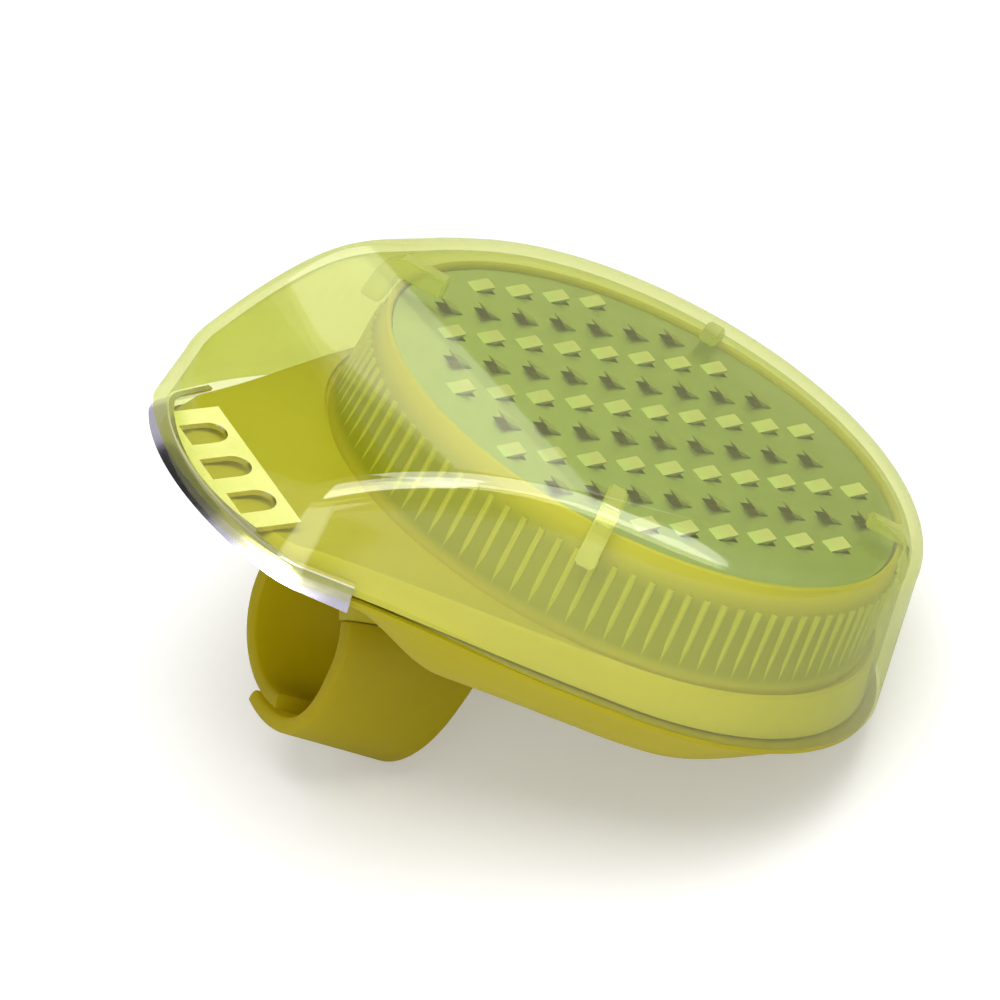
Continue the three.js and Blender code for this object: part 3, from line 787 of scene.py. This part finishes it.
def make_blade():
    sections = np.stack(lip_face(0) + lip_face(BLADE_THICKNESS)[::-1], axis=1)
    points, faces = tube(list(sections))
    make_piece("blade_lip", points, faces, bright_steel, "body", ["nose_blade"], BLADE_LIP_CREASE)
    flat, edges, owner = [], [], []
    for number, loop in enumerate(blade_outlines()):
        start = len(flat)
        flat += [Vector(point) for point in loop]
        edges += [(start + i, start + (i + 1) % len(loop)) for i in range(len(loop))]
        owner += [number] * len(loop)
    flat, _, sheet, *_ = delaunay_2d_cdt(flat, edges, [], WHOLE_SHEET, SHEET_TOLERANCE)
    # A triangle with all its corners on one slot fills that slot, so it is left out
    sheet = [face for face in sheet if len({owner[i] for i in face}) > 1 or owner[face[0]] == OUTER_LOOP]
    count = len(flat)
    points = []
    for depth in (0, BLADE_THICKNESS):
        points += [(spot.x, spot.y, float(blade_top(spot.x)) - depth) for spot in flat]
    faces = [tuple(face) for face in sheet]
    sides = {(face[i], face[(i + 1) % len(face)]) for face in faces for i in range(len(face))}
    faces += [tuple(count + i for i in face[::-1]) for face in sheet]
    rim = [(here, there) for here, there in sorted(sides) if (there, here) not in sides]
    faces += [(there, here, count + here, count + there) for here, there in rim]
    make_piece("blade_plate", points, faces, bright_steel, "body", [])


# Lower shell: a shallow tray whose floor drops to a hump over the finger ring
def hump_at(x):
    rise = smooth_share(x, HUMP_NOSE_FOOT, HUMP_NOSE_TOP)
    fall = smooth_share(-x, -HUMP_TAIL_FOOT, -HUMP_TAIL_TOP)
    return SHELL_EDGE_DEPTH + (HUMP_DEPTH - SHELL_EDGE_DEPTH) * np.minimum(rise, fall)


def shell_top(x):
    return rim_at(x) - SEAT_GAP


def make_shell():
    def inset(extra):
        nose = extra * HUMP_NOSE_FLANK + FLANGE_INSET + SEAT_GAP
        return extra + SEAT_GAP + rim_ease * (nose - extra - SEAT_GAP)

    def floor(share, up=0.0):
        return lambda x: shell_top(x) - np.maximum(hump_at(x) * share - up, SHELL_LEAST_DROP)

    rings = []
    for across in np.linspace(1, 0, SHELL_FLANK_RINGS)[:-1]:
        depth = 1 - (1 - across) ** 2
        edge_blend = -SHELL_EDGE_HEIGHT * (1 - across) * SHELL_EDGE_BLEND
        rings.append(rim_ring(inset(HUMP_FLANK * across), floor(depth, edge_blend)))
    rings += [
        rim_ring(inset(0), lambda x: shell_top(x) - SHELL_EDGE_HEIGHT),
        rim_ring(inset(0), shell_top),
        rim_ring(inset(SHELL_LAND), shell_top),
        rim_ring(inset(HUMP_FLANK), floor(1, SHELL_WALL)),
    ]
    points, faces = loft(rings)
    make_piece("shell_tray", points, faces, lime, "body", ["lower_shell"])


# Finger ring: a pad under the hump and two sprung arms that lap at the bottom
hump_floor = float(shell_top(RING_TAIL_EDGE)) - HUMP_DEPTH
ring_centre = hump_floor - SEAT_GAP - RING_PAD_THICKNESS - RING_INNER_RADIUS
ring_mean = RING_INNER_RADIUS + RING_THICKNESS / 2
ring_width = RING_TAIL_EDGE - RING_NOSE_EDGE


def across_ring(points):
    """Slopes the ring along the rim, and draws its tail edge in and down towards the bottom."""
    edge = (points[:, 0] - RING_NOSE_EDGE) / ring_width
    down = np.maximum(0, ring_centre + ring_mean - points[:, 2]) / (2 * ring_mean)
    moved = points.copy()
    moved[:, 2] += RIM_TILT * ring_width * (1 - edge) - RING_DROOP * down * edge
    moved[:, 0] -= RING_TAPER * edge * down
    return moved


def round_section(half_width, half_depth, radius, steps=6):
    """A rounded rectangle as pairs across the width and through the depth."""
    corners = []
    for quarter, (across, through) in enumerate(((1, 1), (-1, 1), (-1, -1), (1, -1))):
        turn = np.linspace(quarter, quarter + 1, steps) * math.pi / 2
        corners.append(np.column_stack([
            across * (half_width - radius) + radius * np.cos(turn),
            through * (half_depth - radius) + radius * np.sin(turn),
        ]))
    return np.concatenate(corners)


def ring_arm(name, side, end_angle, lap, body, replaced):
    section = round_section(ring_width / 2, RING_THICKNESS / 2, RING_ROUND)
    middle = (RING_NOSE_EDGE + RING_TAIL_EDGE) / 2
    rings = []
    for share in np.linspace(0, 1, RING_ARM_STEPS + 1):
        turn = math.radians(RING_ROOT_ANGLE + (end_angle - RING_ROOT_ANGLE) * share)
        mean = ring_mean + lap * float(smooth_share(share, *RING_LAP_BLEND))
        reach = mean + section[:, 1]
        rings.append(np.column_stack([
            middle + section[:, 0], reach * math.cos(turn) * side, ring_centre + reach * math.sin(turn),
        ]))
    points, faces = tube(rings)
    make_piece(name, across_ring(points), faces, ring_lime_painted_lighter, body, [replaced])


def make_pad():
    root = math.radians(RING_ROOT_ANGLE) + SEAT_GAP / ring_mean
    outer = RING_INNER_RADIUS + RING_THICKNESS
    half_width = outer * math.cos(root)
    foot = ring_centre + outer * math.sin(root)
    top = hump_floor - SEAT_GAP
    turn = np.linspace(root, math.pi - root, RING_BORE_POINTS)
    bore = np.column_stack([np.cos(turn), np.sin(turn)]) * RING_INNER_RADIUS + (0, ring_centre)
    block = [(-half_width, foot), (-half_width, top), (half_width, top), (half_width, foot)]
    side = np.concatenate([bore, block])
    ends = [np.insert(side, 0, x, axis=1) for x in (RING_NOSE_EDGE, RING_TAIL_EDGE)]
    points, faces = tube(ends)
    make_piece("ring_root_pad", across_ring(points), faces, lime, "body", ["ring_pad"])


make_cover()
make_pod()
make_pod_ribs()
make_blade()
make_shell()
make_pad()
ring_arm("ring_arm_near", -1, NEAR_ARM_END, RING_THICKNESS + RING_LAP, "near_arm", "ring_near_arm")
ring_arm("ring_arm_far", 1, FAR_ARM_END, 0, "far_arm", "ring_far_arm")

grater_plate = frame["nodes"]["grater_plate"]
grater_plate.data.materials.clear()
grater_plate.data.materials.append(steel)


# Floor, light and camera
def seen_rays(owner):
    """1 on the rays that show the studio itself, to the camera and through clear pieces."""
    path = add_node(owner, "ShaderNodeLightPath").outputs
    return Socket(owner, path["Is Camera Ray"]).at_least(path["Is Transmission Ray"])


def studio_white():
    """Matt white that looks brighter than it lights the object."""
    material = new_material("studio white")
    matt = add_node(material, "ShaderNodeBsdfDiffuse", Color=FLOOR_COLOUR)
    lift = add_node(material, "ShaderNodeEmission", Color=WHITE, Strength=FLOOR_LIFT * seen_rays(material))
    both = add_node(material, "ShaderNodeAddShader")
    fill_in_order(material, both, matt.outputs[0], lift.outputs[0])
    return finish_material(material, both)


def make_square(name, half, material):
    mesh = bpy.data.meshes.new(name)
    corners = [(-half, -half, 0), (half, -half, 0), (half, half, 0), (-half, half, 0)]
    mesh.from_pydata(corners, [], [(0, 1, 2, 3)])
    mesh.materials.append(material)
    return add_object(name, mesh)


def aim(thing, direction, distance):
    """Puts a card or a lamp out in that direction, facing the object."""
    thing.location = Vector(direction).normalized() * distance
    thing.rotation_euler = Vector(direction).to_track_quat("Z", "Y").to_euler()


def make_floor():
    floor = make_square("floor", FLOOR_HALF_WIDTH, studio_white())


def make_dark_card(direction, distance, size):
    """A dark card over the far side, out of the picture, that draws a dark line in the bright steel."""
    material = new_material("dark card")
    finish_material(material, add_node(material, "ShaderNodeBsdfDiffuse", Color=DARK_CARD_COLOUR))
    card = make_square("dark card", size / 2, material)
    aim(card, direction, distance)
    card.visible_diffuse = False
    card.visible_shadow = False


def make_softbox(name, direction, size, watts, lights_all=True):
    """A square lamp that faces the object. One that doesn't light all is a shine card, for gloss alone."""
    lamp = bpy.data.lights.new(name, "AREA")
    lamp.shape = "SQUARE"
    lamp.size = size
    lamp.energy = watts
    softbox = add_object(name, lamp)
    aim(softbox, direction, LAMP_DISTANCE)
    softbox.visible_diffuse = lights_all


def make_world():
    world = bpy.data.worlds.new("studio")
    world.use_nodes = True
    backdrop = world.node_tree.nodes["Background"]
    link_or_set(world, backdrop.inputs["Color"], WHITE)
    link_or_set(world, backdrop.inputs["Strength"], WORLD_LIGHT + WORLD_LIFT * seen_rays(world))
    bpy.context.scene.world = world


def make_camera():
    """The photograph's camera, turned from the level drawing with the object."""
    right = Vector(CAMERA_RIGHT).normalized()
    back = Vector(CAMERA_BACK).normalized()
    up = back.cross(right).normalized()
    right = up.cross(back)
    eye = EYE_RIGHT * right + EYE_UP * up + EYE_BACK * back
    lens = bpy.data.cameras.new("camera")
    lens.lens = SENSOR_WIDTH * LENS_PER_WIDTH
    lens.sensor_width = SENSOR_WIDTH
    camera = add_object("camera", lens)
    turned = lean_matrix @ Matrix((right, up, back)).transposed().to_4x4()
    turned.translation = standing @ eye
    camera.matrix_world = turned
    bpy.context.scene.camera = camera


make_floor()
make_dark_card((-0.04, 0.68, 0.73), distance=0.8, size=0.5)
make_softbox("top softbox", (-0.12, -0.15, 0.97), size=0.6, watts=6)
make_softbox("front softbox", (-0.71, -0.67, 0.27), size=0.7, watts=3)
make_softbox("shoulder shine card", (0.46, -0.06, 0.88), size=1.0, watts=16, lights_all=False)
make_softbox("blade shine card", (0.6, 0.68, 0.42), size=0.5, watts=1.3, lights_all=False)
make_world()
make_camera()
bpy.context.scene.view_settings.view_transform = "Standard"
